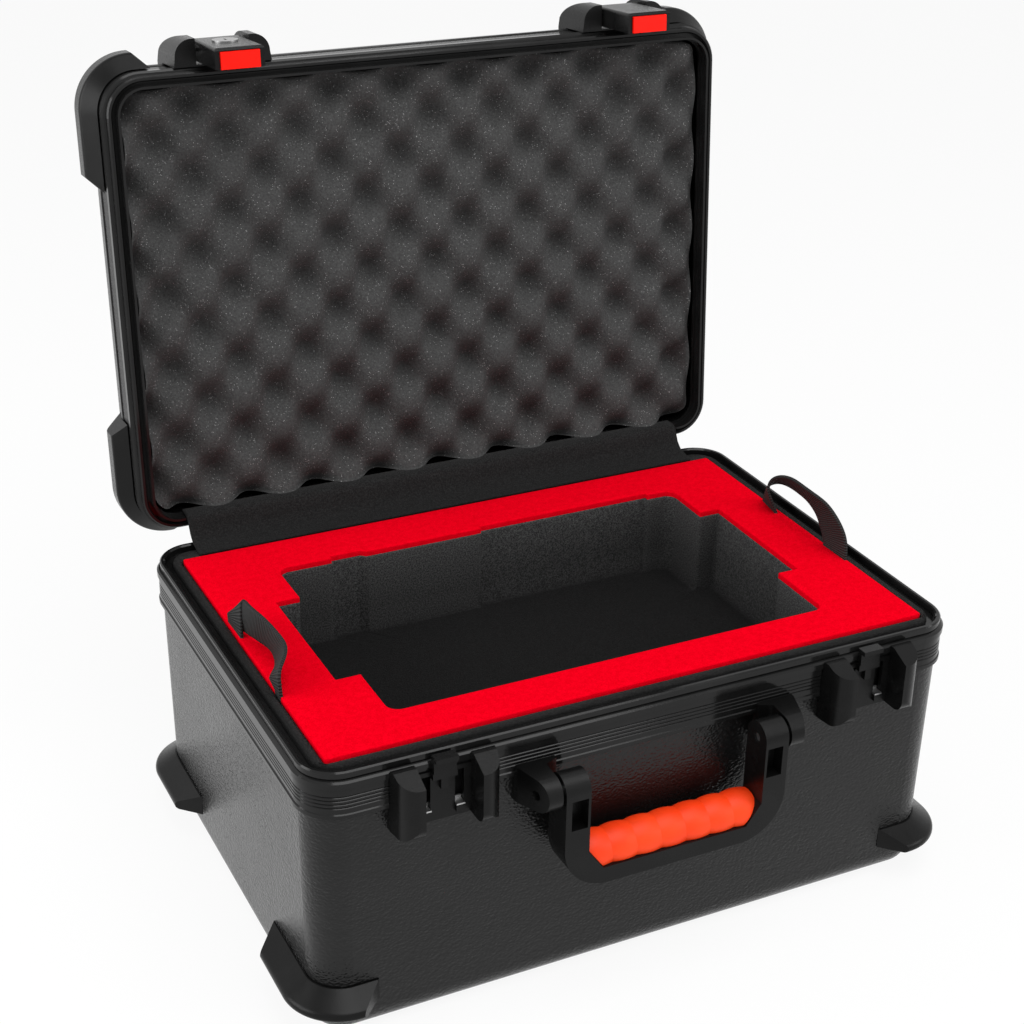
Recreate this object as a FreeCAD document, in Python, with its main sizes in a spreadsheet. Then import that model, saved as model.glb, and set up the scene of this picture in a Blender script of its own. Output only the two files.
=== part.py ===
import FreeCAD, Part
import os
from math import cos, radians, sin
from types import SimpleNamespace

import Sketcher
from FreeCAD import Placement, Rotation, Vector

# Driving dimensions: millimetres, degrees where the name ends in angle
SIZES = {
    # case outline
    "rim_width": 440,
    "rim_depth": 306,
    "rim_corner": 26,
    "parting_height": 188,
    "parting_gap": 0.4,
    "lid_height": 62,
    "open_angle": 94,
    # fits
    "seat_gap": 0.2,
    "foam_gap": 1.2,
    "running_gap": 0.05,
    "press_gap": 0.02,
    "side_gap": 1.5,
    "overrun": 5,
    # moulded shells
    "shell_wall": 3.5,
    "shell_floor": 4,
    "base_draft": 2.5,
    "base_round": 16,
    "lid_draft": 3,
    "lid_round": 8,
    # rim extrusions
    "skirt_height": 30,
    "skirt_wall": 2.4,
    "skirt_edge": 0.5,
    "bead_setback": 2.2,
    "bead_round": 0.9,
    "bead_height": 4.2,
    "bead_inner": 5.6,
    "line_depth": 3,
    "line_step": 0.6,
    "band_setback": 1.2,
    "band_top": 6.4,
    "band_low": 10,
    "rib_setback": 0.9,
    "rib_start": 15,
    "rib_pitch": 2.4,
    "rib_groove": 1.2,
    "rib_depth": 0.7,
    "lip_start": 26.6,
    "lip_setback": 0.2,
    "flange_depth": 5,
    "flange_wall": 2,
    "flange_reach": 10.6,
    "tongue_start": 8,
    "tongue_wall": 1.6,
    "tongue_drop": 3.4,
    # corner bumpers
    "base_bumper_depth": 15,
    "lid_bumper_depth": 12.8,
    "base_bumper_top": 37.5,
    "lid_bumper_top": 49,
    "base_bumper_slope": 9,
    "lid_bumper_slope": 12,
    "bumper_flat": 1,
    "bumper_bottom": 23.5,
    "bumper_upper_round": 4,
    "bumper_lower_round": 2.5,
    "bumper_front_reach": 27,
    "bumper_side_reach": 66,
    # latches: guards shared by strike and bracket
    "latch_spread": 288,
    "latch_shift": 4.5,
    "guard_foot": 32.2,
    "guard_inner": 17.5,
    "guard_reach": 17.5,
    "guard_lip": 1,
    "guard_bow": 11,
    # strike on the base
    "strike_low": 142.5,
    "strike_top": 183,
    "strike_shoulder": 4,
    "strike_slant": 6,
    "strike_round": 8,
    "notch_drop": 12,
    "shelf_top": 176,
    "shelf_height": 4,
    "shelf_reach": 4,
    "slot_inner": 7.6,
    "slot_outer": 13.2,
    "slot_low": 150,
    "slot_high": 173,
    "fork_half": 2.2,
    "fork_reach": 3,
    "fork_low": 164.5,
    "tab_half": 7,
    "tab_reach": 7,
    "tab_height": 3,
    "tab_top": 187,
    "ledge_low": 146,
    "ledge_reach": 2.4,
    "catch_wall": 1,
    "catch_height": 3,
    "catch_reach": 2.2,
    # bracket on the lid
    "bracket_start": 5,
    "bracket_height": 36.6,
    "bracket_plate": 1.3,
    "bracket_nose": 6,
    "bracket_front": 12,
    "bracket_bow": 28,
    # lever
    "pivot_reach": 9.5,
    "pivot_rise": 18,
    "latch_pin_radius": 2,
    "latch_pin_hold": 8,
    "knuckle_radius": 6,
    "lever_drop": 29,
    "lever_depth": 12.9,
    "lever_edge": 2,
    "lever_toe": 1.6,
    "lever_wall": 1.9,
    "lever_roof": 8.5,
    "hook_inner": 8.4,
    "hook_outer": 12.4,
    "hook_low": 166.2,
    "hook_height": 4.8,
    "hook_reach": 0.4,
    "spring_seat_half": 4,
    "spring_seat_low": 169.4,
    "spring_seat_height": 1.8,
    "spring_seat_reach": 5,
    # button and its leaf spring
    "button_half": 12.6,
    "button_proud": 1.6,
    "button_gap": 0.3,
    "button_flange": 1.1,
    "button_flange_height": 1.6,
    "leaf_wall": 0.6,
    "leaf_half": 3,
    "leaf_reach": 5,
    # lock, left latch only
    "lock_drop": 19,
    "lock_radius": 7.2,
    "lock_bezel_radius": 8.25,
    "lock_bezel": 0.9,
    "lock_depth": 6,
    "plug_radius": 4.55,
    "key_half": 0.6,
    "key_length": 5.6,
    "key_depth": 4,
    # handle
    "handle_reach": 18,
    "handle_height": 154.5,
    "handle_radius": 10.5,
    "handle_half": 75,
    "arm_width": 16,
    "bail_low": 88,
    "bail_thick": 11,
    "bail_round": 30,
    "gusset_run": 10,
    "gusset_rise": 14,
    "bail_bar_depth": 28,
    "window_margin": 1.6,
    "window_width": 10.6,
    "window_low": 131,
    "window_high": 151,
    "window_depth": 9,
    "bracket_gap": 2,
    "bracket_width": 9,
    "bracket_low": 141,
    "bracket_high": 166,
    "foot_flare": 8,
    "foot_wall": 3,
    "handle_pin_radius": 3,
    "grip_half": 58.5,
    "grip_radius": 13,
    "grip_swell": 1.2,
    "grip_axis_rise": 4,
    # hinges
    "hinge_spread": 240,
    "hinge_half": 30,
    "hinge_knuckle_half": 10,
    "hinge_setback": 5.5,
    "hinge_radius": 4,
    "hinge_leaf": 2.3,
    "hinge_leaf_height": 20,
    "hinge_leaf_start": 3,
    "hinge_pin_radius": 1.6,
    # foam, felt and webbing
    "tray_half_width": 202.5,
    "tray_depth": 263,
    "tray_shift": 3,
    "tray_corner": 4,
    "tray_low": 96,
    "tray_floor_top": 126,
    "tray_sheet": 4,
    "ledge_width": 15,
    "liner_drop": 1.5,
    "pad_height": 10,
    "pocket_half": 150,
    "pocket_front": 103,
    "pocket_back": 90,
    "pocket_corner": 8,
    "left_notch": 16,
    "left_notch_front": 57,
    "left_notch_back": 48,
    "right_notch": 15,
    "right_notch_half": 50,
    "back_notch": 3,
    "back_notch_left": 112,
    "back_notch_inner": 87,
    "back_notch_start": 2,
    "back_notch_right": 130,
    "strap_width": 25,
    "strap_wall": 2,
    "strap_slot": 0.6,
    "strap_tuck": 36,
    "strap_span": 108,
    "strap_rise": 28,
    "left_strap_middle": -5,
    "right_strap_middle": 10,
    "left_strap_angle": 62,
    "right_strap_angle": 12,
    "foam_half_width": 208,
    "foam_half_depth": 141,
    "foam_corner": 15,
    "foam_clear": 2.5,
    "cover_half": 190,
    "cover_wall": 2,
    "cover_rise": 1.6,
}

RIB_GROOVES = 4
GRIP_WAVES = 7
COVER_LEAN_SHARES = (0, 0.4, 1, 1, 1)
NEAR = 0.01

doc = FreeCAD.newDocument("HardCase")
sheet = doc.addObject("Spreadsheet::Sheet", "Sizes")
for row, (name, value) in enumerate(SIZES.items(), 1):
    sheet.set(f"A{row}", name)
    sheet.set(f"B{row}", str(value))
    sheet.setAlias(f"B{row}", name)
doc.recompute()


class Size:
    """A length kept both as a number and as the sheet expression that gives it."""

    def __init__(self, text, value):
        self.text = text
        self.value = value

    def __float__(self):
        return float(self.value)

    def __add__(self, other):
        return Size(f"({self.text} + {other.text})", self.value + other.value)

    def __sub__(self, other):
        return Size(f"({self.text} - {other.text})", self.value - other.value)

    def __neg__(self):
        return Size(f"(-{self.text})", -self.value)

    def __mul__(self, factor):
        factor = factor if isinstance(factor, Size) else Size(str(factor), factor)
        return Size(f"({self.text} * {factor.text})", self.value * factor.value)

    def __truediv__(self, factor):
        factor = factor if isinstance(factor, Size) else Size(str(factor), factor)
        return Size(f"({self.text} / {factor.text})", self.value / factor.value)


ZERO = Size("0", 0)
s = SimpleNamespace(**{name: Size(f"Sizes.{name}", value) for name, value in SIZES.items()})
pieces = {}


def outline(body, role, points, start=ZERO, closed=True):
    """Sketch a run of lines; a point's third entry makes its run an arc, clockwise if negative."""
    sketch = body.newObject("Sketcher::SketchObject", "Outline")
    plane = next(item for item in body.Origin.OriginFeatures if item.Role == role)
    sketch.AttachmentSupport = [(plane, "")]
    sketch.MapMode = "FlatFace"
    sketch.setExpression("AttachmentOffset.Base.z", start.text)
    runs = list(zip(points, points[1:] + points[:1]))
    runs = runs if closed else runs[:-1]
    ends = []
    for first, second in runs:
        begin = Vector(float(first[0]), float(first[1]), 0)
        finish = Vector(float(second[0]), float(second[1]), 0)
        if len(first) == 2:
            sketch.addGeometry(Part.LineSegment(begin, finish), False)
            ends.append((1, 2))
            continue
        radius = float(first[2])
        chord = finish - begin
        drop = abs(radius) - (radius ** 2 - chord.Length ** 2 / 4) ** 0.5
        outward = Vector(chord.y, -chord.x, 0).normalize() * (drop if radius > 0 else -drop)
        sketch.addGeometry(Part.Arc(begin, (begin + finish) / 2 + outward, finish), False)
        ends.append((1, 2) if radius > 0 else (2, 1))
    count = len(runs)
    for index in range(count if closed else count - 1):
        after = (index + 1) % count
        joint = Sketcher.Constraint("Coincident", index, ends[index][1], after, ends[after][0])
        sketch.addConstraint(joint)
    spots = [(index, ends[index][0]) for index in range(count)]
    spots += [] if closed else [(count - 1, ends[-1][1])]
    for (index, end), point in zip(spots, points):
        for kind, size in zip(("DistanceX", "DistanceY"), point):
            rule = sketch.addConstraint(Sketcher.Constraint(kind, -1, 1, index, end, float(size)))
            sketch.setExpression(f"Constraints[{rule}]", size.text)
        if len(point) == 3:
            radius = point[2] if float(point[2]) > 0 else -point[2]
            rule = sketch.addConstraint(Sketcher.Constraint("Radius", index, float(radius)))
            sketch.setExpression(f"Constraints[{rule}]", radius.text)
    return sketch


def prism(role, points, start, length):
    body = doc.addObject("PartDesign::Body", "Prism")
    pad = body.newObject("PartDesign::Pad", "Pad")
    pad.Profile = outline(body, role, points, start)
    pad.setExpression("Length", length.text)
    body.Tip = pad
    return body


def across(points, left, right):
    """A prism between two x values, drawn in y and z."""
    return prism("YZ_Plane", points, left, right - left)


def through(points, front, back):
    """A prism between two y values, drawn in x and z."""
    return prism("XZ_Plane", points, -back, back - front)


def upright(points, low, high):
    """A prism between two z values, drawn in x and y."""
    return prism("XY_Plane", points, low, high - low)


def settle(item, x, y, z):
    for axis, size in zip("xyz", (x, y, z)):
        item.setExpression(f"Placement.Base.{axis}", size.text)
    return item


def block(left, right, front, back, low, high):
    item = doc.addObject("Part::Box", "Block")
    item.setExpression("Length", (right - left).text)
    item.setExpression("Width", (back - front).text)
    item.setExpression("Height", (high - low).text)
    return settle(item, left, front, low)


def rod(turn, x, y, z, radius, length):
    item = doc.addObject("Part::Cylinder", "Rod")
    item.Placement = Placement(Vector(), turn)
    item.setExpression("Radius", radius.text)
    item.setExpression("Height", length.text)
    return settle(item, x, y, z)


def disc(x, y, radius):
    return [
        (x + radius, y, radius),
        (x, y + radius, radius),
        (x - radius, y, radius),
        (x, y - radius, radius),
    ]


ALONG_X = Rotation(Vector(0, 1, 0), 90)
ALONG_Y = Rotation(Vector(1, 0, 0), -90)


def fuse(*items):
    result = doc.addObject("Part::MultiFuse", "Fuse")
    result.Shapes = list(items)
    result.Refine = True
    return result


def cut(base, *tools):
    result = doc.addObject("Part::Cut", "Cut")
    result.Base = base
    result.Tool = tools[0] if len(tools) == 1 else fuse(*tools)
    result.Refine = True
    return result


def common(first, second):
    result = doc.addObject("Part::Common", "Common")
    result.Base = first
    result.Tool = second
    return result


def mirror(item, x):
    result = doc.addObject("Part::Mirroring", "Mirror")
    result.Source = item
    result.Normal = Vector(1, 0, 0)
    result.setExpression("Base.x", x.text)
    return result


def dress(body, kind, chosen):
    doc.recompute()
    base = body.Tip
    edges = enumerate(base.Shape.Edges, 1)
    feature = body.newObject(kind, "Dressing")
    feature.Base = (base, [f"Edge{index}" for index, edge in edges if chosen(edge.BoundBox)])
    body.Tip = feature
    return feature


def round_edges(body, radius, chosen):
    dress(body, "PartDesign::Fillet", chosen).setExpression("Radius", radius.text)
    return body


def bevel_edges(body, across_top, down_side, chosen):
    bevel = dress(body, "PartDesign::Chamfer", chosen)
    bevel.ChamferType = "Two distances"
    bevel.FlipDirection = True
    bevel.setExpression("Size", across_top.text)
    bevel.setExpression("Size2", down_side.text)
    return body


def piece(label, item, place=Placement()):
    item.Label = label
    item.Placement = place.multiply(item.Placement)
    pieces[label] = item


def rounded(half_x, half_y, corner, middle=ZERO):
    """A rounded rectangle that starts at the middle of its front side."""
    return [
        (ZERO, middle - half_y),
        (half_x - corner, middle - half_y, corner),
        (half_x, middle - half_y + corner),
        (half_x, middle + half_y - corner, corner),
        (half_x - corner, middle + half_y),
        (corner - half_x, middle + half_y, corner),
        (-half_x, middle + half_y - corner),
        (-half_x, middle - half_y + corner, corner),
        (corner - half_x, middle - half_y),
    ]


# Levels and walls that several pieces share
half_width = s.rim_width / 2
half_depth = s.rim_depth / 2
parting = s.parting_height
lid_bottom = parting + s.parting_gap
lid_top = parting + s.lid_height
shell_inset = s.skirt_wall + s.seat_gap
seat_depth = s.flange_depth + s.flange_wall + s.seat_gap
base_edge = parting - seat_depth
lid_edge = lid_bottom + seat_depth
rim_front = -half_depth
rim_back = half_depth
hinge_y = half_depth + s.hinge_setback
hinge_z = parting + s.parting_gap / 2
skirt_low = parting - s.skirt_height
skirt_high = lid_bottom + s.skirt_height
hinge_point = Vector(0, float(hinge_y), float(hinge_z))
lid_turn = Rotation(Vector(1, 0, 0), -float(s.open_angle))
lid_open = Placement(Vector(), lid_turn, hinge_point)


base_slope = s.base_draft / base_edge
lid_slope = s.lid_draft / (lid_top - lid_edge)


def base_inset(height):
    return shell_inset + base_slope * (base_edge - height)


def lid_inset(height):
    return shell_inset + lid_slope * (height - lid_edge)


def base_front(height):
    return base_inset(height) - half_depth


def lid_front(height):
    return lid_inset(height) - half_depth


def at_level(height):
    return lambda box: max(abs(box.ZMin - height), abs(box.ZMax - height)) < NEAR


# Moulded shells
def tub(inset, edge, length, slope, edge_round, upward):
    """A drafted block drawn from its open edge and rounded at its closed end."""
    body = doc.addObject("PartDesign::Body", "Tub")
    section = rounded(half_width - inset, half_depth - inset, s.rim_corner - inset)
    pad = body.newObject("PartDesign::Pad", "Pad")
    pad.Profile = outline(body, "XY_Plane", section, edge)
    pad.Reversed = not upward
    pad.setExpression("Length", length.text)
    pad.setExpression("TaperAngle", f"-atan({slope.text})")
    body.Tip = pad
    return round_edges(body, edge_round, at_level(float(edge + length if upward else edge - length)))


def moulded_shell(edge, height, slope, edge_round, upward):
    outer = tub(shell_inset, edge, height, slope, edge_round, upward)
    inner_inset = shell_inset + s.shell_wall
    inner = tub(inner_inset, edge, height - s.shell_floor, slope, edge_round - s.shell_wall, upward)
    return cut(outer, inner)


latch_half = s.latch_spread / 2
latch_centres = {"left": s.latch_shift - latch_half, "right": s.latch_shift + latch_half}


def strike_window(centre):
    half = s.slot_outer + s.side_gap
    back = rim_front + shell_inset + s.shell_wall + s.overrun
    low = s.slot_low - s.side_gap
    return block(centre - half, centre + half, rim_front, back, low, s.slot_high + s.seat_gap)


base_tub = moulded_shell(base_edge, base_edge, base_slope, s.base_round, False)
piece("base_shell", cut(base_tub, *(strike_window(centre) for centre in latch_centres.values())))
lid_floor = lid_top - s.shell_floor
piece("lid_shell", moulded_shell(lid_edge, lid_top - lid_edge, lid_slope, s.lid_round, True), lid_open)


# Rim extrusions, swept round the whole case
def rim_profile(place, tongue):
    points = [
        (s.bead_inner - s.bead_round, ZERO),
        (s.bead_setback + s.bead_round, ZERO),
        (s.bead_setback, s.bead_round),
        (s.bead_setback, s.bead_height),
        (s.line_depth, s.bead_height + s.line_step),
        (s.band_setback, s.bead_height + s.line_step * 2),
        (ZERO, s.band_top),
        (ZERO, s.band_low),
        (s.rib_setback, s.band_low + s.line_step),
    ]
    for index in range(RIB_GROOVES):
        groove = s.rib_start + s.rib_pitch * index
        points += [
            (s.rib_setback, groove),
            (s.rib_setback + s.rib_depth, groove + s.rib_groove / 2),
            (s.rib_setback, groove + s.rib_groove),
        ]
    points += [
        (s.rib_setback, s.lip_start),
        (s.lip_setback, s.lip_start + s.line_step),
        (s.lip_setback, s.skirt_height - s.skirt_edge),
        (s.lip_setback + s.skirt_edge, s.skirt_height),
        (s.skirt_wall, s.skirt_height),
        (s.skirt_wall, s.flange_depth + s.flange_wall),
        (s.flange_reach, s.flange_depth + s.flange_wall),
        (s.flange_reach, s.flange_depth),
    ]
    if tongue:
        points += [
            (s.tongue_start + s.tongue_wall, s.flange_depth),
            (s.tongue_start + s.tongue_wall, -s.tongue_drop),
            (s.tongue_start, -s.tongue_drop),
            (s.tongue_start, s.flange_depth),
        ]
    points += [
        (s.bead_inner, s.flange_depth),
        (s.bead_inner, s.bead_round),
    ]
    return [place(inset, depth) for inset, depth in points]


def rim(place, tongue):
    body = doc.addObject("PartDesign::Body", "Rim")
    sweep = body.newObject("PartDesign::AdditivePipe", "Sweep")
    path = outline(body, "XY_Plane", rounded(half_width, half_depth, s.rim_corner))
    sweep.Profile = outline(body, "YZ_Plane", rim_profile(place, tongue))
    sweep.Spine = path
    body.Tip = sweep
    return body


def notch(centre):
    half = s.guard_foot + s.seat_gap
    front = rim_front - s.overrun
    back = rim_front + shell_inset
    return block(centre - half, centre + half, front, back, skirt_low - s.overrun, parting - s.notch_drop)


base_rim = rim(lambda inset, depth: (rim_front + inset, parting - depth), False)
piece("base_valance", cut(base_rim, *(notch(centre) for centre in latch_centres.values())))
piece("lid_valance", rim(lambda inset, depth: (rim_front + inset, lid_bottom + depth), True), lid_open)


# Corner bumpers: an angle piece in plan, bevelled on top and rounded below
def bumper(reaches, inset, depth, top, slope):
    inner = s.rim_corner - inset + s.seat_gap
    outer = inner + depth
    first = reaches[0] + depth - s.rim_corner
    second = reaches[1] + depth - s.rim_corner
    plan = [
        (inner, -first),
        (outer, depth - first),
        (outer, ZERO, outer),
        (ZERO, outer),
        (depth - second, outer),
        (-second, inner),
        (ZERO, inner, -inner),
        (inner, ZERO),
    ]
    edge = float(outer) - NEAR

    def outside(height):
        level = at_level(float(height))
        return lambda box: level(box) and (
            box.XMin > edge or box.YMin > edge or min(box.XMin, box.YMin) > -NEAR and box.XMax > edge
        )

    body = upright(plan, s.bumper_bottom, top)
    bevel_edges(body, depth - s.bumper_flat, slope, outside(top))
    round_edges(body, s.bumper_upper_round, outside(top - slope))
    return round_edges(body, s.bumper_lower_round, outside(s.bumper_bottom))


def skirt_corner():
    """The corner of the lid's skirt, which the lid bumpers reach over."""
    edge = s.rim_corner - s.lip_setback + s.seat_gap
    far = -s.bumper_side_reach
    plan = [(far, far), (edge, far), (edge, ZERO, edge), (ZERO, edge), (far, edge)]
    return upright(plan, lid_top - skirt_high - s.seat_gap, s.lid_bumper_top + s.overrun)


base_form = (base_inset(s.base_bumper_top), s.base_bumper_depth, s.base_bumper_top, s.base_bumper_slope)
lid_form = (lid_inset(skirt_high), s.lid_bumper_depth, s.lid_bumper_top, s.lid_bumper_slope)
flip = Placement(Vector(), Rotation(Vector(1, 0, 0), 180))
corners = {
    "back_right": (1, 1, 0, 90),
    "back_left": (-1, 1, 90, 180),
    "front_left": (-1, -1, 180, 270),
    "front_right": (1, -1, 270, 0),
}
reaches = (s.bumper_side_reach, s.bumper_front_reach)
for name, (side, end, base_angle, lid_angle) in corners.items():
    x = side * float(half_width - s.rim_corner)
    y = end * float(half_depth - s.rim_corner)
    along = reaches if side == end else reaches[::-1]
    turn = Rotation(Vector(0, 0, 1), base_angle)
    piece(f"base_bumper_{name}", bumper(along, *base_form), Placement(Vector(x, y, 0), turn))
    turn = Rotation(Vector(0, 0, 1), lid_angle)
    place = Placement(Vector(x, y, float(lid_top)), turn).multiply(flip)
    item = cut(bumper(along[::-1], *lid_form), skirt_corner())
    piece(f"lid_bumper_{name}", item, lid_open.multiply(place))


# Latch guards: the plan curve met by the side view, and the same mirrored
guard_front = rim_front - s.guard_reach


def guards(centre, side_view, back, low, high):
    inner = centre + s.guard_inner
    outer = centre + s.guard_foot
    plan = [
        (inner, back),
        (inner, guard_front),
        (outer - s.guard_lip - s.guard_bow, guard_front, s.guard_bow),
        (outer - s.guard_lip, guard_front + s.guard_bow),
        (outer, rim_front),
        (outer, back),
    ]
    right = common(upright(plan, low, high), across(side_view, inner - s.overrun, outer + s.overrun))
    return right, mirror(right, centre)


# Strikes on the base, each with a bent steel catch behind its slots
notch_top = parting - s.notch_drop - s.seat_gap
strike_face = rim_front - s.seat_gap
strike_back = [
    (base_front(s.strike_low) - s.seat_gap, s.strike_low),
    (base_front(notch_top) - s.seat_gap, notch_top),
    (strike_face, notch_top),
]


def strike(centre):
    side_view = strike_back + [
        (strike_face, s.strike_top),
        (rim_front - s.strike_shoulder, s.strike_top),
        (guard_front, s.strike_top - s.strike_slant),
        (guard_front, s.strike_low + s.strike_round, s.strike_round),
        (guard_front + s.strike_round, s.strike_low),
    ]
    shelf_front = rim_front - s.shelf_reach
    plate_view = strike_back + [(strike_face, s.strike_low)]
    half = s.guard_inner + s.side_gap
    back = rim_front + s.overrun
    plate = across(plate_view, centre - half, centre + half)
    shelf = block(
        centre - s.slot_outer, centre + s.slot_outer, shelf_front, strike_face,
        s.shelf_top - s.shelf_height, s.shelf_top,
    )
    fork = block(
        centre - s.fork_half, centre + s.fork_half, strike_face - s.fork_reach, strike_face + s.skirt_wall,
        s.fork_low, s.slot_high,
    )
    riser = block(
        centre - s.tab_half, centre + s.tab_half, shelf_front, strike_face,
        s.shelf_top - s.skirt_wall, s.tab_top,
    )
    tab = block(
        centre - s.tab_half, centre + s.tab_half, rim_front - s.tab_reach, strike_face,
        s.tab_top - s.tab_height, s.tab_top,
    )
    slots = []
    ledges = []
    for side in (1, -1):
        edges = sorted([centre + s.slot_inner * side, centre + s.slot_outer * side], key=float)
        slots.append(block(*edges, rim_front - s.overrun, back, s.slot_low, s.slot_high))
        slots.append(block(*edges, shelf_front - s.overrun, strike_face, s.slot_low, parting))
        ledge_front = strike_face - s.ledge_reach
        ledges.append(block(*edges, ledge_front, strike_face + s.skirt_wall, s.ledge_low, s.slot_low))
    cheeks = guards(centre, side_view, back, s.strike_low, s.strike_top)
    return cut(fuse(plate, shelf, fork, riser, tab, *ledges, *cheeks), *slots)


def strike_catch(centre):
    low = s.slot_low + s.seat_gap
    high = low + s.catch_wall
    bar_front = base_front(s.slot_low) + s.seat_gap
    bar_back = bar_front + s.catch_wall
    half = s.slot_outer - s.seat_gap
    parts = [block(centre - half, centre + half, bar_front, bar_back, low, low + s.catch_height)]
    for side in (1, -1):
        edges = sorted([centre + (s.slot_inner + s.seat_gap) * side, centre + half * side], key=float)
        parts.append(block(*edges, strike_face - s.catch_reach, bar_back, low, high))
    return fuse(*parts)


# Brackets on the lid carry the levers on pins
bracket_low = lid_bottom + s.bracket_start
bracket_high = bracket_low + s.bracket_height
bracket_step = skirt_high + s.seat_gap
bracket_back = [
    (strike_face, bracket_low),
    (strike_face, bracket_step),
    (lid_front(bracket_step) - s.seat_gap, bracket_step),
    (lid_front(bracket_high) - s.seat_gap, bracket_high),
]
pivot_y = rim_front - s.pivot_reach
pivot_z = parting + s.pivot_rise


def latch_bracket(centre):
    side_view = bracket_back + [
        (rim_front - s.bracket_nose, bracket_high, s.bracket_bow),
        (guard_front, bracket_low + s.bracket_front),
        (guard_front, bracket_low),
    ]
    plate_front = rim_front - s.bracket_plate
    plate_view = bracket_back + [(plate_front, bracket_high), (plate_front, bracket_low)]
    half = s.guard_inner + s.side_gap
    back = rim_front + s.overrun
    plate = across(plate_view, centre - half, centre + half)
    whole = fuse(plate, *guards(centre, side_view, back, bracket_low, bracket_high))
    hold = s.guard_inner + s.latch_pin_hold + s.seat_gap
    hole = rod(ALONG_X, centre - hold, pivot_y, pivot_z, s.latch_pin_radius + s.press_gap, hold * 2)
    return cut(whole, hole)


def latch_pin(centre):
    hold = s.guard_inner + s.latch_pin_hold
    return across(disc(pivot_y, pivot_z, s.latch_pin_radius), centre - hold, centre + hold)


# Levers, hollow behind, with two hooks
lever_half = s.guard_inner - s.side_gap
lever_low = parting - s.lever_drop
lever_outer = pivot_y - s.knuckle_radius
lever_back = lever_outer + s.lever_depth
lever_inner = lever_outer + s.lever_wall
lever_floor = lever_low + s.lever_wall
lock_z = pivot_z - s.lock_drop


def lever(centre, locking):
    view = [
        (lever_back, lever_low),
        (lever_back, pivot_z),
        (lever_outer, pivot_z),
        (lever_outer, lever_low + s.lever_toe),
        (lever_outer + s.lever_toe, lever_low),
    ]
    face = across(view, centre - lever_half, centre + lever_half)
    front = float(lever_outer)
    round_edges(face, s.lever_edge, lambda box: box.YMax < front + NEAR and box.ZLength > box.XLength)
    knuckle = rod(ALONG_X, centre - lever_half, pivot_y, pivot_z, s.knuckle_radius, lever_half * 2)
    half = lever_half - s.lever_wall
    back = lever_back + s.overrun
    hollow = block(centre - half, centre + half, lever_inner, back, lever_floor, pivot_z - s.lever_roof)
    half = s.button_half + s.button_gap
    mouth_low = lever_low - s.overrun
    mouth = block(centre - half, centre + half, lever_inner, back, mouth_low, lever_floor + s.overrun)
    bore_radius = s.latch_pin_radius + s.running_gap
    bore = rod(ALONG_X, centre - s.guard_foot, pivot_y, pivot_z, bore_radius, s.guard_foot * 2)
    tools = [hollow, mouth]
    if locking:
        lock_bore = s.lock_radius + s.press_gap
        tools.append(rod(ALONG_Y, centre, lever_outer - s.overrun, lock_z, lock_bore, s.guard_reach))
    seat = block(
        centre - s.spring_seat_half, centre + s.spring_seat_half, lever_inner - s.seat_gap,
        lever_inner + s.spring_seat_reach, s.spring_seat_low, s.spring_seat_low + s.spring_seat_height,
    )
    hooks = []
    for side in (1, -1):
        edges = sorted([centre + s.hook_inner * side, centre + s.hook_outer * side], key=float)
        tip = rim_front - s.hook_reach
        hooks.append(block(*edges, lever_inner - s.seat_gap, tip, s.hook_low, s.hook_low + s.hook_height))
    return fuse(cut(fuse(cut(face, *tools), knuckle), bore), seat, *hooks)


def button(centre):
    front = lever_inner + s.button_gap
    low = lever_low - s.button_proud
    high = lever_floor + s.seat_gap
    cap = block(centre - s.button_half, centre + s.button_half, front, lever_back, low, high)
    half = s.button_half + s.button_flange
    flange = block(
        centre - half, centre + half, front, lever_back - s.button_gap, high, high + s.button_flange_height,
    )
    return fuse(cap, flange)


def button_spring(centre):
    low = lever_floor + s.seat_gap + s.button_flange_height
    high = s.spring_seat_low
    near = lever_inner + s.spring_seat_reach
    far = near - s.leaf_reach + s.button_gap
    middle = (low + high) / 2
    view = [
        (near, low),
        (near, low + s.leaf_wall),
        (far + s.leaf_wall, middle),
        (near, high - s.leaf_wall),
        (near, high),
        (far, middle),
    ]
    return across(view, centre - s.leaf_half, centre + s.leaf_half)


def lock_cylinder(centre):
    start = lever_outer - s.lock_bezel
    barrel = rod(ALONG_Y, centre, start, lock_z, s.lock_radius, s.lock_depth)
    bezel = rod(ALONG_Y, centre, start, lock_z, s.lock_bezel_radius, s.lock_bezel)
    plug_bore = rod(ALONG_Y, centre, start - s.overrun, lock_z, s.plug_radius + s.running_gap, s.guard_reach)
    return cut(fuse(barrel, bezel), plug_bore)


def lock_plug(centre):
    start = lever_outer - s.lock_bezel
    plug = rod(ALONG_Y, centre, start, lock_z, s.plug_radius, s.lock_depth)
    half = s.key_length / 2
    slot = block(
        centre - s.key_half, centre + s.key_half, start - s.overrun, start + s.key_depth,
        lock_z - half, lock_z + half,
    )
    return cut(plug, slot)


for side, centre in latch_centres.items():
    piece(f"latch_strike_{side}", strike(centre))
    piece(f"strike_catch_{side}", strike_catch(centre))
    piece(f"latch_bracket_{side}", latch_bracket(centre), lid_open)
    piece(f"latch_pin_{side}", latch_pin(centre), lid_open)
    piece(f"latch_lever_{side}", lever(centre, side == "left"), lid_open)
    piece(f"latch_button_{side}", button(centre), lid_open)
    piece(f"button_spring_{side}", button_spring(centre), lid_open)
piece("lock_cylinder", lock_cylinder(latch_centres["left"]), lid_open)
piece("lock_plug", lock_plug(latch_centres["left"]), lid_open)

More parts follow.
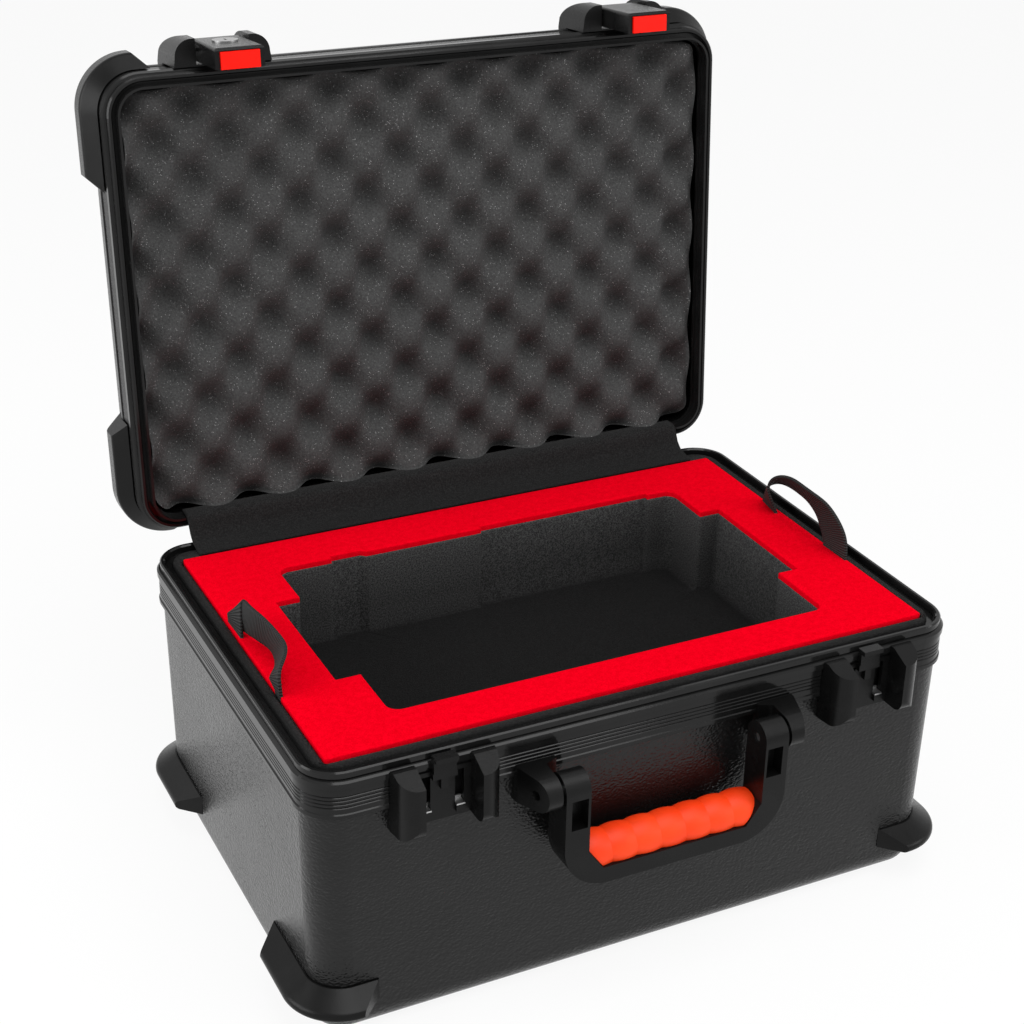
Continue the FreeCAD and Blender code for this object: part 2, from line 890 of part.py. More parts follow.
# Handle: brackets, pins, bail and grip
handle_y = rim_front - s.handle_reach
handle_z = s.handle_height
bail_front = handle_y - s.handle_radius
bail_back = handle_y + s.handle_radius
foot_step = skirt_low - s.seat_gap
foot_back = [
    (base_front(s.bracket_low) - s.seat_gap, s.bracket_low),
    (base_front(foot_step) - s.seat_gap, foot_step),
    (strike_face, foot_step),
    (strike_face, s.bracket_high),
]


ear_near = s.handle_half + s.bracket_gap
ear_far = ear_near + s.bracket_width
arm_inner = s.handle_half - s.arm_width


def handle_bracket():
    """The plan, flared towards the wall, met by the side view with its round nose."""
    foot_front = rim_front - s.foot_wall
    plan = [
        (ear_near - s.foot_flare, rim_front + s.overrun),
        (ear_near - s.foot_flare, foot_front),
        (ear_near, foot_front - s.foot_wall),
        (ear_near, bail_front),
        (ear_far, bail_front),
        (ear_far + s.foot_flare, foot_front),
        (ear_far + s.foot_flare, rim_front + s.overrun),
    ]
    side_view = foot_back + [
        (handle_y, handle_z + s.handle_radius, s.handle_radius),
        (bail_front, handle_z, s.handle_radius),
        (handle_y, handle_z - s.handle_radius),
    ]
    ear = common(
        upright(plan, s.bracket_low, s.bracket_high),
        across(side_view, arm_inner, ear_far + s.foot_flare + s.overrun),
    )
    hole_radius = s.handle_pin_radius + s.press_gap
    return cut(ear, rod(ALONG_X, ear_near - s.overrun, handle_y, handle_z, hole_radius, s.guard_foot))


right_bracket = handle_bracket()
piece("handle_bracket_left", mirror(right_bracket, ZERO))
piece("handle_bracket_right", right_bracket)
pin_length = ear_far - arm_inner - s.side_gap * 2
piece(
    "handle_pin_right",
    rod(ALONG_X, arm_inner + s.side_gap, handle_y, handle_z, s.handle_pin_radius, pin_length),
)
piece(
    "handle_pin_left",
    rod(ALONG_X, s.side_gap - ear_far, handle_y, handle_z, s.handle_pin_radius, pin_length),
)

bar_top = s.bail_low + s.bail_thick
bail_view = [
    (-s.handle_half, handle_z),
    (-s.handle_half, s.bail_low + s.bail_round, s.bail_round),
    (s.bail_round - s.handle_half, s.bail_low),
    (s.handle_half - s.bail_round, s.bail_low, s.bail_round),
    (s.handle_half, s.bail_low + s.bail_round),
    (s.handle_half, handle_z),
    (arm_inner, handle_z),
    (arm_inner, bar_top + s.gusset_rise),
    (arm_inner - s.gusset_run, bar_top),
    (s.gusset_run - arm_inner, bar_top),
    (-arm_inner, bar_top + s.gusset_rise),
    (-arm_inner, handle_z),
]
bar_half = s.handle_half - s.bail_round
bar_back = bail_front + s.bail_bar_depth
bail_parts = [
    through(bail_view, bail_front, bail_back),
    block(-bar_half, bar_half, bail_back - s.overrun, bar_back, s.bail_low, bar_top),
]
bail_tools = []
hole_radius = s.handle_pin_radius + s.running_gap
for left in (arm_inner, -s.handle_half):
    bail_parts.append(rod(ALONG_X, left, handle_y, handle_z, s.handle_radius, s.arm_width))
    bail_tools.append(rod(ALONG_X, left - s.overrun, handle_y, handle_z, hole_radius, s.guard_foot))
for left in (arm_inner + s.window_margin, -arm_inner - s.window_margin - s.window_width):
    right = left + s.window_width
    depth = bail_front + s.window_depth
    bail_tools.append(block(left, right, bail_front - s.overrun, depth, s.window_low, s.window_high))
piece("handle_bail", cut(fuse(*bail_parts), *bail_tools))

grip_body = doc.addObject("PartDesign::Body", "Grip")
wave = s.grip_half * 2 / GRIP_WAVES
swell = wave * wave / (s.grip_swell * 8) + s.grip_swell / 2
grip_low = s.grip_radius - s.grip_swell
grip_view = [(s.grip_half, ZERO)]
grip_view += [(s.grip_half - wave * index, grip_low, swell) for index in range(GRIP_WAVES)]
grip_view += [(-s.grip_half, grip_low), (-s.grip_half, ZERO)]
spin = grip_body.newObject("PartDesign::Revolution", "Spin")
grip_sketch = outline(grip_body, "XZ_Plane", grip_view)
spin.Profile = grip_sketch
spin.ReferenceAxis = (grip_sketch, ["H_Axis"])
spin.Angle = 360
grip_body.Tip = spin
grip_z = bar_top + s.grip_axis_rise
grip_y = bail_front + s.bail_bar_depth / 2
settle(grip_body, ZERO, grip_y, grip_z)
grip_end = arm_inner - s.seat_gap * 2
grip_turn = grip_end - s.gusset_run
window = [
    (-grip_end, handle_z),
    (-grip_end, bar_top + s.gusset_rise),
    (-grip_turn, bar_top + s.seat_gap),
    (grip_turn, bar_top + s.seat_gap),
    (grip_end, bar_top + s.gusset_rise),
    (grip_end, handle_z),
]
grip_space = through(window, grip_y - s.guard_foot, grip_y + s.guard_foot)
piece("handle_grip", common(grip_body, grip_space))


# Hinges: two knuckles on the base leaf, one between them on the lid leaf
def hinge_leaf(centre, upward, spans):
    front = rim_back + s.seat_gap
    back = front + s.hinge_leaf
    if upward:
        low, high = lid_bottom + s.hinge_leaf_start, lid_bottom + s.hinge_leaf_start + s.hinge_leaf_height
        web_low, web_high = hinge_z, low + s.hinge_leaf_start
    else:
        low, high = parting - s.hinge_leaf_start - s.hinge_leaf_height, parting - s.hinge_leaf_start
        web_low, web_high = high - s.hinge_leaf_start, hinge_z
    parts = [block(centre - s.hinge_half, centre + s.hinge_half, front, back, low, high)]
    bores = []
    bore_radius = s.hinge_pin_radius + s.running_gap
    for left, right in spans:
        parts.append(block(centre + left, centre + right, front, hinge_y, web_low, web_high))
        parts.append(rod(ALONG_X, centre + left, hinge_y, hinge_z, s.hinge_radius, right - left))
    bores.append(rod(ALONG_X, centre - s.guard_foot, hinge_y, hinge_z, bore_radius, s.guard_foot * 2))
    return cut(fuse(*parts), *bores)


knuckle_end = s.hinge_knuckle_half + s.seat_gap
outer_spans = [(-s.hinge_half, -knuckle_end), (knuckle_end, s.hinge_half)]
inner_spans = [(-s.hinge_knuckle_half, s.hinge_knuckle_half)]
for side, centre in (("left", -s.hinge_spread / 2), ("right", s.hinge_spread / 2)):
    piece(f"hinge_base_leaf_{side}", hinge_leaf(centre, False, outer_spans))
    piece(f"hinge_lid_leaf_{side}", hinge_leaf(centre, True, inner_spans), lid_open)
    pin = rod(ALONG_X, centre - s.hinge_half, hinge_y, hinge_z, s.hinge_pin_radius, s.hinge_half * 2)
    piece(f"hinge_pin_{side}", pin)

# Foam liner with a ledge for the insert, and the floor pad
tray_middle = -s.tray_shift
tray_half_depth = s.tray_depth / 2
liner_inset = shell_inset + s.shell_wall + s.seat_gap
liner_low = s.shell_floor + s.seat_gap
liner_edge = base_edge - s.seat_gap
collar_inset = s.flange_reach + s.seat_gap
liner_round = s.base_round - s.shell_wall
liner_body = tub(liner_inset, liner_edge, liner_edge - liner_low, base_slope, liner_round, False)
collar_half = (half_width - collar_inset, half_depth - collar_inset)
collar = upright(
    rounded(*collar_half, s.rim_corner - collar_inset), liner_edge - s.overrun, parting - s.liner_drop,
)
bay_half = (s.tray_half_width + s.foam_gap, tray_half_depth + s.foam_gap)
bay = block(
    -bay_half[0], bay_half[0], tray_middle - bay_half[1], tray_middle + bay_half[1],
    s.tray_low, parting + s.overrun,
)
store_half = (s.tray_half_width - s.ledge_width, tray_half_depth - s.ledge_width)
store = block(
    -store_half[0], store_half[0], tray_middle - store_half[1], tray_middle + store_half[1],
    ZERO, s.tray_low + s.overrun,
)
piece("base_liner", cut(fuse(liner_body, collar), bay, store))
pad_half = (store_half[0] - s.seat_gap, store_half[1] - s.seat_gap)
pad_body = upright(rounded(*pad_half, s.tray_corner, tray_middle), liner_low, liner_low + s.pad_height)
piece("floor_pad", pad_body)

# Lift-out insert: floor, cut-out frame, felt-faced sheet and two pull loops
pocket_corner = s.pocket_corner
pocket = [
    (pocket_corner - s.pocket_half, -s.pocket_front),
    (s.pocket_half - pocket_corner, -s.pocket_front, pocket_corner),
    (s.pocket_half, pocket_corner - s.pocket_front),
    (s.pocket_half, -s.right_notch_half),
    (s.pocket_half + s.right_notch, -s.right_notch_half),
    (s.pocket_half + s.right_notch, s.right_notch_half),
    (s.pocket_half, s.right_notch_half),
    (s.pocket_half, s.pocket_back - pocket_corner, pocket_corner),
    (s.pocket_half - pocket_corner, s.pocket_back),
    (s.back_notch_right, s.pocket_back),
    (s.back_notch_right, s.pocket_back + s.back_notch),
    (-s.back_notch_start, s.pocket_back + s.back_notch),
    (-s.back_notch_start, s.pocket_back),
    (-s.back_notch_inner, s.pocket_back),
    (-s.back_notch_inner, s.pocket_back + s.back_notch),
    (-s.back_notch_left, s.pocket_back + s.back_notch),
    (-s.back_notch_left, s.pocket_back),
    (pocket_corner - s.pocket_half, s.pocket_back, pocket_corner),
    (-s.pocket_half, s.pocket_back - pocket_corner),
    (-s.pocket_half, s.left_notch_back),
    (-s.pocket_half - s.left_notch, s.left_notch_back),
    (-s.pocket_half - s.left_notch, -s.left_notch_front),
    (-s.pocket_half, -s.left_notch_front),
    (-s.pocket_half, pocket_corner - s.pocket_front, pocket_corner),
]
tray_outline = rounded(s.tray_half_width, tray_half_depth, s.tray_corner, tray_middle)
sheet_low = parting - s.tray_sheet
strap_low = parting - s.strap_tuck
strap_middles = {"left": s.left_strap_middle, "right": s.right_strap_middle}
strap_angles = {"left": s.left_strap_angle, "right": s.right_strap_angle}
leg_offset = (s.strap_span - s.strap_width) / 2


def leg_spans(side):
    for sign in (-1, 1):
        middle = strap_middles[side] + leg_offset * sign
        yield middle - s.strap_width / 2, middle + s.strap_width / 2


def strap_slots(low):
    tools = []
    depth = s.strap_wall + s.strap_slot * 2
    for side, sign in (("left", -1), ("right", 1)):
        outside = s.tray_half_width + s.overrun
        edges = sorted([(s.tray_half_width - depth) * sign, outside * sign], key=float)
        for front, back in leg_spans(side):
            tools.append(block(*edges, front - s.strap_slot, back + s.strap_slot, low, parting + s.overrun))
    return tools


def tray_layer(low, high):
    frame = upright(tray_outline, low, high)
    return cut(frame, upright(pocket, low - s.overrun, high + s.overrun), *strap_slots(strap_low))


piece("tray_floor", upright(tray_outline, s.tray_low + s.seat_gap, s.tray_floor_top))
piece("tray_frame", tray_layer(s.tray_floor_top, sheet_low))
piece("tray_top", tray_layer(sheet_low, parting))


def pull_loop(side, sign):
    """Two legs in the side slots and an arched band that leans from them."""
    outer = (s.tray_half_width - s.strap_slot) * sign
    inner = outer - s.strap_wall * sign
    edges = sorted([outer, inner], key=float)
    low = strap_low + s.strap_slot
    high = parting + s.strap_wall
    legs = [block(*edges, front, back, low, high) for front, back in leg_spans(side)]
    half = s.strap_span / 2
    gap_half = half - s.strap_width
    gap_rise = s.strap_rise - s.strap_width
    arch = half * half / (s.strap_rise * 2) + s.strap_rise / 2
    gap_arch = gap_half * gap_half / (gap_rise * 2) + gap_rise / 2
    band_view = [
        (half, ZERO, arch),
        (ZERO, s.strap_rise, arch),
        (-half, ZERO),
        (-gap_half, ZERO, -gap_arch),
        (ZERO, gap_rise, -gap_arch),
        (gap_half, ZERO),
    ]
    band = across(band_view, -s.strap_wall / 2, s.strap_wall / 2)
    turn = Rotation(Vector(0, 1, 0), -sign * float(strap_angles[side]))
    band.Placement = Placement(Vector(), turn)
    settle(band, (outer + inner) / 2, strap_middles[side], parting + s.strap_wall / 2)
    return fuse(*legs, band)


piece("pull_loop_left", pull_loop("left", -1))
piece("pull_loop_right", pull_loop("right", 1))

# Lid foam, and the felt strip that covers the hinge gap inside
foam_outline = rounded(s.foam_half_width, s.foam_half_depth, s.foam_corner)
piece("lid_foam", upright(foam_outline, parting + s.foam_clear, lid_floor - s.seat_gap), lid_open)


turn_cos = Size(f"cos({s.open_angle.text})", cos(radians(s.open_angle.value)))
turn_sin = Size(f"sin({s.open_angle.text})", sin(radians(s.open_angle.value)))


def opened(y, z):
    """Where a point of the closed lid lies once the lid is open."""
    across_hinge = y - hinge_y
    above_hinge = z - hinge_z
    return (
        hinge_y + across_hinge * turn_cos + above_hinge * turn_sin,
        hinge_z - across_hinge * turn_sin + above_hinge * turn_cos,
    )


tongue_tip = opened(rim_back - s.tongue_start - s.tongue_wall, lid_bottom - s.tongue_drop)
foam_edge = opened(s.foam_half_depth, parting + s.foam_clear)
cover_line = [
    (tray_middle + bay_half[1] + s.side_gap, parting - s.liner_drop + s.seat_gap),
    (rim_back - s.bead_inner - s.side_gap, parting + s.seat_gap),
    (tongue_tip[0] - s.cover_rise, tongue_tip[1] - s.tongue_wall),
    (tongue_tip[0] - s.cover_rise, tongue_tip[1] + s.tongue_wall),
    (foam_edge[0] - s.cover_rise, foam_edge[1]),
]
cover_back = [
    (y - s.cover_wall * share, z + s.cover_wall) for (y, z), share in zip(cover_line, COVER_LEAN_SHARES)
]
piece("hinge_cover", across(cover_line + cover_back[::-1], -s.cover_half, s.cover_half))

# Check every step, then write one file for each piece
doc.recompute()
for item in doc.Objects:
    if "Invalid" in item.State or "Error" in item.State:
        raise ValueError(f"{item.Name} {item.Label} {item.State}")
os.makedirs("parts", exist_ok=True)
for label, item in pieces.items():
    if item.Shape.isNull() or not item.Shape.isValid():
        raise ValueError(label)
    item.Shape.exportStep(f"parts/{label}.step")
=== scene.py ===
# %% [markdown]
# # A hard case with a lift-out foam insert
# The case stands open: a moulded base, a lid full of egg-crate foam, a red felt insert with a cut-out, and
# webbing loops to lift the insert by. The hard pieces arrive as a finished frame that already has its joints.
# This lesson dresses that frame: it makes the soft pieces as surfaces, and gives every surface its finish.

# %% Load the frame
import math

import bpy
import numpy as np
from mathutils import Matrix, Vector


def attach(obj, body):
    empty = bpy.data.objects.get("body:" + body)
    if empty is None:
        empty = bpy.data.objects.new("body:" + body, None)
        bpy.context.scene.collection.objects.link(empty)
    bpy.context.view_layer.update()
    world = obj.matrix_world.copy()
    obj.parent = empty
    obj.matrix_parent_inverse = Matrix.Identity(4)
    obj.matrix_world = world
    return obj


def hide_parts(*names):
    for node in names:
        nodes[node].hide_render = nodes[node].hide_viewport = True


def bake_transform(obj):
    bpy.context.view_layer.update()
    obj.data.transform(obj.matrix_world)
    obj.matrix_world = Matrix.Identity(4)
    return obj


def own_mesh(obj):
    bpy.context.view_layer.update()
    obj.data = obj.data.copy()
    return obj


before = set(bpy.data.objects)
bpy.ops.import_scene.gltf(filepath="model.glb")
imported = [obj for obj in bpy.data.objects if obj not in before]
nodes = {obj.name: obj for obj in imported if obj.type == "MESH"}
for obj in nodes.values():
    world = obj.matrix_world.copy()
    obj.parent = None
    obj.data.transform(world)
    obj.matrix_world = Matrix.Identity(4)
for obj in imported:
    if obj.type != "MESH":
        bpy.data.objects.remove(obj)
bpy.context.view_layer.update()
MM = 0.001

# %% [markdown]
# ## Turning arrays into meshes
# Each soft piece is a sheet of points with two directions, like a net. numpy works out all the points at once,
# and this helper hangs faces on the net. A direction can be closed, so that its last row meets its first.

# %% A net of points becomes a mesh
def net_faces(rows, columns, rows_closed, columns_closed):
    """Corner numbers of every square: each joins a point to its neighbours in the next row and column."""
    grid = np.arange(rows * columns).reshape(rows, columns)
    grid = np.vstack([grid, grid[:1]]) if rows_closed else grid
    grid = np.hstack([grid, grid[:, :1]]) if columns_closed else grid
    return np.stack([grid[:-1, :-1], grid[1:, :-1], grid[1:, 1:], grid[:-1, 1:]], axis=-1).reshape(-1, 4)


def net_piece(name, points, rows_closed=False, columns_closed=False, flip=False):
    """A smooth mesh on an array of points in millimetres, shaped rows by columns by 3."""
    rows, columns = points.shape[:2]
    faces = net_faces(rows, columns, rows_closed, columns_closed)
    faces = faces[:, ::-1] if flip else faces
    mesh = bpy.data.meshes.new(name)
    mesh.from_pydata((points * MM).reshape(-1, 3), [], faces)
    mesh.polygons.foreach_set("use_smooth", np.ones(len(faces), bool))
    mesh.update()
    piece = bpy.data.objects.new(name, mesh)
    bpy.context.scene.collection.objects.link(piece)
    print(name, len(faces), "squares")
    return piece


def mark(piece, name, values):
    """Keeps one number per point on the mesh, so that a finish can read it."""
    attribute = piece.data.attributes.new(name, "FLOAT", "POINT")
    attribute.data.foreach_set("value", np.asarray(values, np.float32).ravel())


# %% [markdown]
# ## Arithmetic on shader sockets
# A finish is a recipe of numbers that change over the surface. Writing the recipe as ordinary arithmetic is
# easier to read than a drawing of nodes, so a small class wraps a socket and adds the Math nodes by itself.

# %% A socket that takes part in arithmetic
class Value:
    """One shader value; adding, multiplying and so on puts Math nodes behind it."""

    def __init__(self, finish, socket):
        self.finish = finish
        self.socket = socket

    def maths(self, operation, first, second):
        return self.finish.node("ShaderNodeMath", {"operation": operation}, {0: first, 1: second})

    def __add__(self, other):
        return self.maths("ADD", self, other)

    def __sub__(self, other):
        return self.maths("SUBTRACT", self, other)

    def __rsub__(self, other):
        return self.maths("SUBTRACT", other, self)

    def __mul__(self, other):
        return self.maths("MULTIPLY", self, other)

    __radd__ = __add__
    __rmul__ = __mul__


class Finish:
    """A material, or the world, under construction, with one method that adds any node."""

    def __init__(self, name, shelf="materials"):
        self.material = getattr(bpy.data, shelf).new(name)
        self.material.use_nodes = True
        self.tree = self.material.node_tree
        self.tree.nodes.clear()
        self.place = self.node("ShaderNodeTexCoord", {}, {}, "Object")

    def node(self, kind, settings, inputs, output=0):
        made = self.tree.nodes.new(kind)
        for key, value in settings.items():
            setattr(made, key, value)
        for key, value in inputs.items():
            if isinstance(value, Value):
                self.tree.links.new(value.socket, made.inputs[key])
            else:
                made.inputs[key].default_value = value
        return Value(self, made.outputs[output]) if made.outputs else None

    def noise(self, scale, detail=3.0, rough=0.5, place=None):
        inputs = {"Vector": place or self.place, "Scale": scale, "Detail": detail, "Roughness": rough}
        return self.node("ShaderNodeTexNoise", {}, inputs, "Fac")

    def cells(self, scale, feature="F1", place=None):
        inputs = {"Vector": place or self.place, "Scale": scale}
        return self.node("ShaderNodeTexVoronoi", {"feature": feature}, inputs, "Distance")

    def between(self, value, low, high):
        """0 below low, 1 above high, smooth between them."""
        inputs = {"Value": value, "From Min": low, "From Max": high}
        return self.node("ShaderNodeMapRange", {"interpolation_type": "SMOOTHSTEP"}, inputs)

    def mixed(self, share, first, second):
        """The first colour where share is 0, the second where it is 1."""
        return self.node("ShaderNodeMix", {"data_type": "RGBA"}, {0: share, 6: first, 7: second}, 2)

    def bumped(self, height, distance, strength=1.0):
        inputs = {"Height": height, "Distance": distance, "Strength": strength}
        return self.node("ShaderNodeBump", {}, inputs)

    def backdrop(self):
        """1 for rays that show the background: seen directly, in a reflection or through something clear."""
        rays = ("Is Camera Ray", "Is Glossy Ray", "Is Transmission Ray")
        camera, glossy, clear = (self.node("ShaderNodeLightPath", {}, {}, ray) for ray in rays)
        return camera + glossy + clear

    def surface(self, **inputs):
        """Ends the recipe: its values go into one Principled shader."""
        named = {key.replace("_", " "): value for key, value in inputs.items()}
        shader = self.node("ShaderNodeBsdfPrincipled", {}, named)
        self.node("ShaderNodeOutputMaterial", {}, {"Surface": shader})
        print("finish", self.material.name, len(self.tree.nodes), "nodes")
        return self.material


def grey(level):
    return (level, level, level, 1.0)


def dress(material, *names):
    """Gives a finish to hard pieces by name."""
    for name in names:
        nodes[name].data.materials.clear()
        nodes[name].data.materials.append(material)


# %% [markdown]
# ## The moulded shells
# The base and lid are black polyethylene with a leather grain pressed in by the mould. The grain is small
# pebbles with thin valleys between them. Voronoi cells give the pebbles, a slow noise keeps them from looking
# stamped, and both only tilt the light through a Bump node, because the relief is a tenth of a millimetre.

# %% Leather grain
grain = Finish("shell_leather_grain")
drawn_out = grain.node("ShaderNodeMapping", {}, {"Vector": grain.place, "Scale": (0.8, 0.8, 1.2)})
wander = grain.noise(260, 2, 0.5, drawn_out)
pebbles = grain.cells(640, "SMOOTH_F1", drawn_out)
pores = grain.noise(1900, 2)
relief = pebbles * -0.9 + wander * 0.6 + pores * 0.15
worn = grain.between(grain.noise(14, 4), 0.35, 0.75)
shell_finish = grain.surface(
    Base_Color=grain.mixed(worn, grey(0.0035), grey(0.006)),
    Roughness=0.18 + worn * 0.05 + pebbles * 0.1,
    Specular_IOR_Level=0.3,
    Normal=grain.bumped(relief, 0.0007, 0.5),
)
dress(shell_finish, "base_shell", "lid_shell")

# %% [markdown]
# ## The rim bands
# Both halves end in a ribbed band of black anodised aluminium. It is an extrusion, so its marks run along the
# rim. A fine noise is enough here: the ribs themselves are real shape, and the satin sheen shows them.

# %% Anodised bands
anodised = Finish("rim_anodised")
drawn = anodised.noise(900, 2)
smudge = anodised.between(anodised.noise(24, 3), 0.4, 0.7)
rim_finish = anodised.surface(
    Base_Color=anodised.mixed(smudge, grey(0.006), grey(0.009)),
    Roughness=0.1 + smudge * 0.05 + drawn * 0.04,
    Specular_IOR_Level=0.22,
    Normal=anodised.bumped(drawn, 0.0001, 0.2),
)
dress(rim_finish, "base_valance", "lid_valance")

# %% [markdown]
# ## Bumpers, latches and handle
# These are injection-moulded nylon: smoother than the shell, with a faint spark-eroded texture. One recipe with
# two strengths serves them all, because on the real case they come from similar tools.

# %% Satin nylon
def satin_nylon(name, level, rough, texture, shine):
    nylon = Finish(name)
    spark = nylon.noise(2200, 3, 0.6)
    handled = nylon.between(nylon.noise(30, 4), 0.4, 0.72)
    return nylon.surface(
        Base_Color=nylon.mixed(handled, grey(level), grey(level * 1.5)),
        Roughness=rough + handled * 0.07 + spark * 0.08,
        Specular_IOR_Level=shine,
        Normal=nylon.bumped(spark, 0.0003, texture),
    )


corners = ("front_right", "back_right", "back_left", "front_left")
bumper_finish = satin_nylon("bumper_nylon", 0.005, 0.16, 0.3, 0.13)
dress(bumper_finish, *(f"{half}_bumper_{corner}" for half in ("base", "lid") for corner in corners))
fitting_finish = satin_nylon("latch_nylon", 0.004, 0.2, 0.3, 0.15)
sides = ("left", "right")
dress(fitting_finish, *(f"latch_{part}_{side}" for part in ("strike", "bracket", "lever") for side in sides))
dress(fitting_finish, "handle_bail", "handle_bracket_left", "handle_bracket_right")
dress(fitting_finish, *(f"hinge_{half}_leaf_{side}" for half in ("base", "lid") for side in sides))

# %% [markdown]
# ## Red buttons and the orange grip
# The latch buttons are glossy red plastic. The grip is a soft rubber moulding in orange red with swells for the
# fingers. Both are strong plain colours, so only a slight unevenness and a fine surface texture are added.

# %% Coloured plastics
red = Finish("button_red")
cloud = red.noise(60, 3)
button_finish = red.surface(
    Base_Color=red.mixed(cloud, (0.86, 0.006, 0.002, 1), (0.95, 0.010, 0.003, 1)),
    Roughness=0.26 + cloud * 0.08,
    Specular_IOR_Level=0.15,
    Normal=red.bumped(red.noise(1800, 2), 0.0002, 0.2),
)
dress(button_finish, "latch_button_left", "latch_button_right")
rubber = Finish("grip_rubber")
skin = rubber.noise(1600, 3, 0.6)
tone = rubber.between(rubber.noise(35, 3), 0.35, 0.7)
grip_finish = rubber.surface(
    Base_Color=rubber.mixed(tone, (0.92, 0.046, 0.004, 1), (0.97, 0.060, 0.007, 1)),
    Roughness=0.46 + tone * 0.06,
    Specular_IOR_Level=0.25,
    Normal=rubber.bumped(skin, 0.0003, 0.3),
)
dress(grip_finish, "handle_grip")

# %% [markdown]
# ## Steel and the lock
# Pins, catches and leaf springs are plain steel, and the lock is nickel plated. Brushing is a noise that is
# stretched a long way in one direction, which a Mapping node does before the noise reads its place.

# %% Bright metal
def bright_metal(name, level, rough):
    metal = Finish(name)
    stretched = metal.node("ShaderNodeMapping", {}, {"Vector": metal.place, "Scale": (1.0, 14.0, 14.0)})
    brushing = metal.noise(600, 2, 0.5, stretched)
    return metal.surface(
        Base_Color=metal.mixed(brushing, grey(level * 0.85), grey(level)),
        Metallic=1.0,
        Roughness=rough + brushing * 0.12,
        Normal=metal.bumped(brushing, 0.0001, 0.2),
    )


steel_parts = ("strike_catch", "handle_pin", "hinge_pin", "latch_pin", "button_spring")
dress(bright_metal("plain_steel", 0.5, 0.3), *(f"{part}_{side}" for part in steel_parts for side in sides))
dress(bright_metal("lock_nickel", 0.36, 0.26), "lock_cylinder", "lock_plug")

# %% [markdown]
# ## Egg-crate foam in the lid
# Egg-crate foam is cut by pressing a slab between studded rollers, so its face is a regular wave of peaks and
# hollows in a chequered order. Two sines multiplied together give that, and a power makes the hollows narrower
# than the peaks. The slab is drawn for the closed lid, where numbers are simple, and then turned back with it.

# %% The slab with a waved face
HINGE_Y, HINGE_Z, OPENING = 158.5, 188.2, math.radians(94)
FOAM_HALF_X, FOAM_HALF_Y, FOAM_CORNER = 208.0, 141.0, 15.0
FOAM_FACE, FOAM_SEAT = 190.6, 245.7
PITCH_X, PITCH_Y = 47.8, 50.2
HOLLOW, NARROWING = 18.0, 1.4
PEAK_X, PEAK_Y = 15.2, 31.2
FACE_COLUMNS, FACE_ROWS = 190, 130
EDGE_TURN = np.array([1.0, 0.5, 0.03, 0.0])


def opened(points):
    """Turns points of the closed lid back about the hinge line by the opening angle."""
    y = points[..., 1] - HINGE_Y
    z = points[..., 2] - HINGE_Z
    back = HINGE_Y + y * math.cos(OPENING) + z * math.sin(OPENING)
    high = HINGE_Z - y * math.sin(OPENING) + z * math.cos(OPENING)
    return np.stack([points[..., 0], back, high], axis=-1)


def egg_crate(x, y):
    """Depth of the hollow: half of one minus the product of two sines, to a power that narrows the hollows."""
    wave = np.sin(2 * np.pi * (x - PEAK_X) / PITCH_X) * np.sin(2 * np.pi * (y - PEAK_Y) / PITCH_Y)
    return HOLLOW * ((1 - wave) / 2) ** NARROWING


def foam_slab():
    """A grid over the slab, its corners drawn in to a radius, with border rows that turn down to the seat."""
    run_x = np.linspace(-FOAM_HALF_X, FOAM_HALF_X, FACE_COLUMNS)
    run_y = np.linspace(-FOAM_HALF_Y, FOAM_HALF_Y, FACE_ROWS)
    border = len(EDGE_TURN)
    padded_x = np.concatenate([np.full(border, run_x[0]), run_x, np.full(border, run_x[-1])])
    padded_y = np.concatenate([np.full(border, run_y[0]), run_y, np.full(border, run_y[-1])])
    turn_x = np.concatenate([EDGE_TURN, np.zeros(FACE_COLUMNS), EDGE_TURN[::-1]])
    turn_y = np.concatenate([EDGE_TURN, np.zeros(FACE_ROWS), EDGE_TURN[::-1]])
    x, y = np.meshgrid(padded_x, padded_y, indexing="ij")
    reach_x = FOAM_HALF_X - FOAM_CORNER
    reach_y = FOAM_HALF_Y - FOAM_CORNER
    over_x = np.maximum(np.abs(x) - reach_x, 0)
    over_y = np.maximum(np.abs(y) - reach_y, 0)
    shrink = np.minimum(1, FOAM_CORNER / np.maximum(np.hypot(over_x, over_y), 1e-6))
    x = np.sign(x) * (np.minimum(np.abs(x), reach_x) + over_x * shrink)
    y = np.sign(y) * (np.minimum(np.abs(y), reach_y) + over_y * shrink)
    face = FOAM_FACE + egg_crate(x, y)
    turn = np.maximum(turn_x[:, None], turn_y[None, :])
    return np.stack([x, y, face + (FOAM_SEAT - face) * turn], axis=-1)


lid_foam = net_piece("lid_egg_crate", opened(foam_slab()), flip=True)
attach(lid_foam, "lid")
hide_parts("lid_foam")

# %% [markdown]
# ## What foam looks like close up
# Open-cell foam is a mass of tiny bubbles. Its charcoal face shows pin-prick pores, and a few cut cell walls
# catch the light as bright specks; these glints are painted into the colour as pale grey. Small Voronoi cells give
# the pores, and a threshold on larger ones picks the few cells that get a painted glint.

# %% Charcoal foam
foam = Finish("charcoal_foam")
pore = foam.cells(900)
grit = foam.noise(700, 4, 0.7)
# Painted glints: a few cells turn pale grey where cut cell walls would catch the light.
painted_glint = (1 - foam.between(foam.cells(780), 0.14, 0.26)) * foam.between(foam.noise(520, 1), 0.52, 0.6)
shade = foam.mixed(foam.between(grit, 0.3, 0.7), grey(0.036), grey(0.066))
foam_finish = foam.surface(
    Base_Color=foam.mixed(painted_glint, shade, grey(0.34)),
    Roughness=0.95,
    Specular_IOR_Level=0.15,
    Normal=foam.bumped(pore * -0.6 + grit, 0.0009, 0.6),
)
lid_foam.data.materials.append(foam_finish)

# %% [markdown]
# ## Outlines for the insert and the liner
# The insert, its cut-out and the liner are all prisms on an outline. An outline is a list of corners with a
# radius each. Straight runs get a point every few millimetres, and round corners a short arc.

